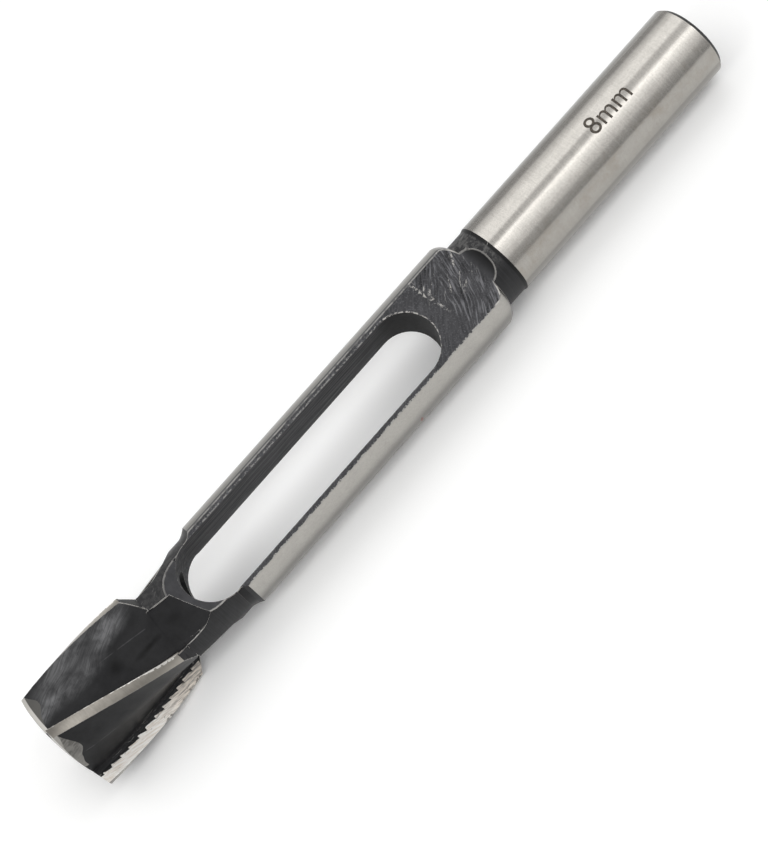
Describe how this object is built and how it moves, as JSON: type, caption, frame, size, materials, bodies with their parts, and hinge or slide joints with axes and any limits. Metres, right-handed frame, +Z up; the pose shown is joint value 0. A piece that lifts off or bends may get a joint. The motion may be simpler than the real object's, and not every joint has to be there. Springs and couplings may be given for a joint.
{
  "type": "tenon cutter",
  "caption": "Tenon cutter for a drill: round shank, flatted body with a through window, and a hollow helical-toothed head that turns a round tenon.",
  "frame": {"origin": "centre of the bounding box on the surface the tool lies on", "axes": "+X runs along the tool from the cutting end to the shank end (the axis dips 0.91 degrees towards the shank end, as the tool rests); +Z is up"},
  "size_m": [0.1402, 0.0174, 0.0174],
  "materials": {
    "tool_steel": "ground bright on shank, barrel and lands, black oxide elsewhere"
  },
  "bodies": {
    "root": {"tenon_cutter": "tool_steel"}
  },
  "joints": []
}
